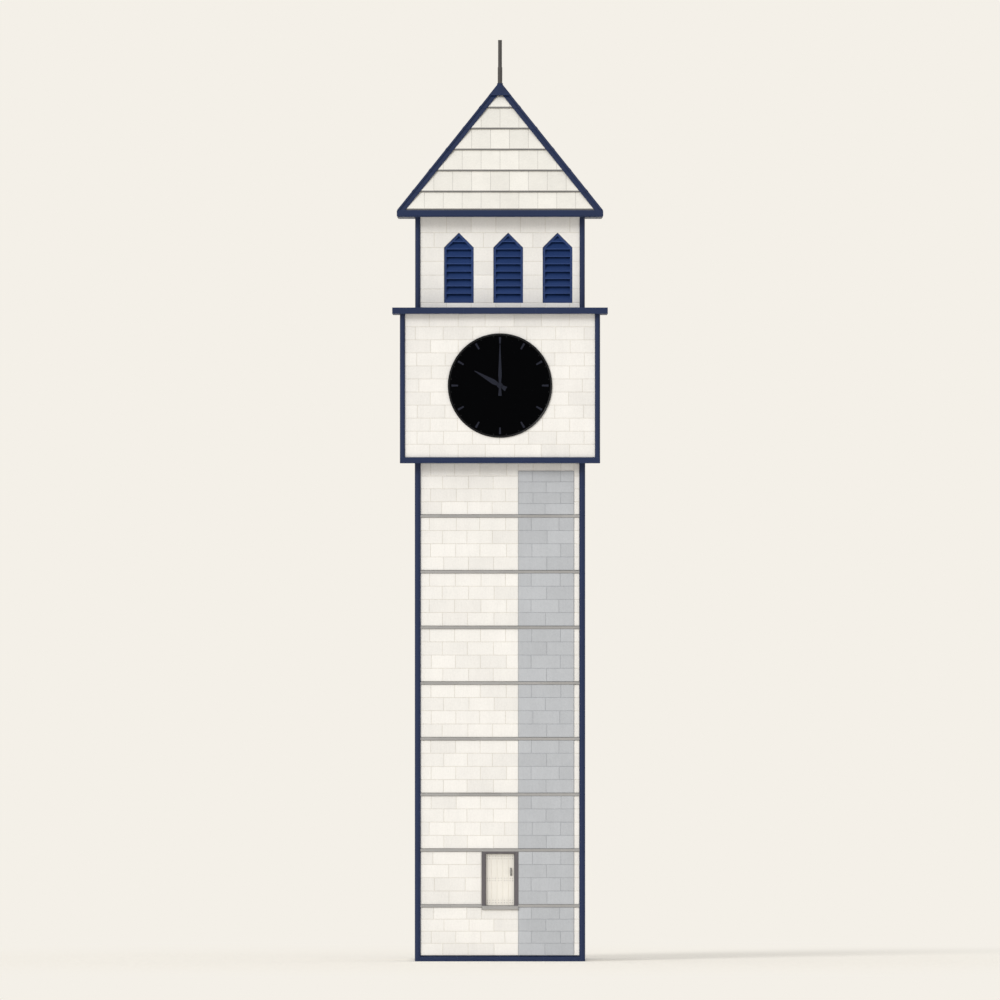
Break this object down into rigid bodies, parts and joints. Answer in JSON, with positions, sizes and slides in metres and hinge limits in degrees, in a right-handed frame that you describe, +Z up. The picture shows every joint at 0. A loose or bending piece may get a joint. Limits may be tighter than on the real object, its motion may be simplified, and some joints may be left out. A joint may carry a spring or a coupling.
{
  "type": "clock tower",
  "caption": "Square stone clock tower with a raised door, a wider stage with a black dial on each side, a louvred belfry and a pyramid roof with a pole.",
  "frame": {"origin": "on the ground, at the middle of the shaft's square base", "axes": "+Z up; the side with the door faces -Y; +X is to the right of someone facing that side"},
  "size_m": [5.24, 5.24, 22.4474],
  "materials": {
    "wall_stone": "cream limestone ashlar, fine joints, matt",
    "roof_cream": "cream stone slates in lapped courses, matt",
    "navy_stone": "stone mouldings painted navy, satin",
    "navy_timber": "timber painted navy, satin",
    "navy_metal": "folded sheet painted navy, satin",
    "louvre_navy": "louvre boards painted navy, satin",
    "string_grey": "warm grey stone, matt",
    "strip_grey": "light grey render, matt",
    "frame_grey": "dark grey paint, satin",
    "door_wood": "cream painted boards, satin",
    "dark_iron": "black ironwork, satin",
    "dial_black": "black enamel, satin",
    "hand_grey": "dim navy-grey paint, satin",
    "pole_grey": "grey paint, satin",
    "floor_concrete": "floated concrete, matt"
  },
  "bodies": {
    "tower": {"apex_cap": "navy_metal", "back_belfry_wall": "wall_stone", "back_clock_wall": "wall_stone", "back_dial": "dial_black", "back_roof_slope": "roof_cream", "back_wall": "wall_stone", "base_course": "navy_stone", "belfry_louvres": "louvre_navy", "corner_beads": "navy_stone", "cornice": "navy_stone", "door_frame": "frame_grey", "door_hinge_pins": "dark_iron", "door_sill": "frame_grey", "eaves": "navy_timber", "entrance_floor": "floor_concrete", "front_belfry_wall": "wall_stone", "front_clock_wall": "wall_stone", "front_dial": "dial_black", "front_roof_slope": "roof_cream", "front_wall_above_door": "wall_stone", "front_wall_below_door": "wall_stone", "front_wall_beside_door": "wall_stone", "grey_strips": "strip_grey", "ground_slab": "floor_concrete", "hip_rolls": "navy_metal", "hour_marks": "hand_grey", "left_belfry_wall": "wall_stone", "left_clock_wall": "wall_stone", "left_dial": "dial_black", "left_roof_slope": "roof_cream", "left_wall": "wall_stone", "pole": "pole_grey", "right_belfry_wall": "wall_stone", "right_clock_wall": "wall_stone", "right_dial": "dial_black", "right_roof_slope": "roof_cream", "right_wall": "wall_stone", "stage_slab": "navy_stone", "string_courses": "string_grey"},
    "door": {"door_leaf": "door_wood", "door_furniture": "dark_iron"},
    "front_minute_hand": {"front_minute_hand": "hand_grey"},
    "front_hour_hand": {"front_hour_hand": "hand_grey"},
    "right_minute_hand": {"right_minute_hand": "hand_grey"},
    "right_hour_hand": {"right_hour_hand": "hand_grey"},
    "back_minute_hand": {"back_minute_hand": "hand_grey"},
    "back_hour_hand": {"back_hour_hand": "hand_grey"},
    "left_minute_hand": {"left_minute_hand": "hand_grey"},
    "left_hour_hand": {"left_hour_hand": "hand_grey"}
  },
  "joints": [
    {"name": "door_hinge", "type": "hinge", "parent": "tower", "child": "door", "pos_m": [-0.343, -1.879, 1.99], "axis": [0, 0, 1], "range_deg": [0, 90]},
    {"name": "front_minute_turn", "type": "hinge", "parent": "tower", "child": "front_minute_hand", "pos_m": [0, -2.37, 14.0065], "axis": [0, 1, 0], "continuous": true},
    {"name": "front_hour_turn", "type": "hinge", "parent": "tower", "child": "front_hour_hand", "pos_m": [0, -2.37, 14.0065], "axis": [0, 1, 0], "continuous": true},
    {"name": "right_minute_turn", "type": "hinge", "parent": "tower", "child": "right_minute_hand", "pos_m": [2.37, 0, 14.0065], "axis": [-1, 0, 0], "continuous": true},
    {"name": "right_hour_turn", "type": "hinge", "parent": "tower", "child": "right_hour_hand", "pos_m": [2.37, 0, 14.0065], "axis": [-1, 0, 0], "continuous": true},
    {"name": "back_minute_turn", "type": "hinge", "parent": "tower", "child": "back_minute_hand", "pos_m": [0, 2.37, 14.0065], "axis": [0, -1, 0], "continuous": true},
    {"name": "back_hour_turn", "type": "hinge", "parent": "tower", "child": "back_hour_hand", "pos_m": [0, 2.37, 14.0065], "axis": [0, -1, 0], "continuous": true},
    {"name": "left_minute_turn", "type": "hinge", "parent": "tower", "child": "left_minute_hand", "pos_m": [-2.37, 0, 14.0065], "axis": [1, 0, 0], "continuous": true},
    {"name": "left_hour_turn", "type": "hinge", "parent": "tower", "child": "left_hour_hand", "pos_m": [-2.37, 0, 14.0065], "axis": [1, 0, 0], "continuous": true}
  ],
  "couplings": [
    {"joint": "front_hour_turn", "follows": "front_minute_turn", "ratio": 0.083333},
    {"joint": "right_minute_turn", "follows": "front_minute_turn", "ratio": 1},
    {"joint": "right_hour_turn", "follows": "front_minute_turn", "ratio": 0.083333},
    {"joint": "back_minute_turn", "follows": "front_minute_turn", "ratio": 1},
    {"joint": "back_hour_turn", "follows": "front_minute_turn", "ratio": 0.083333},
    {"joint": "left_minute_turn", "follows": "front_minute_turn", "ratio": 1},
    {"joint": "left_hour_turn", "follows": "front_minute_turn", "ratio": 0.083333}
  ]
}
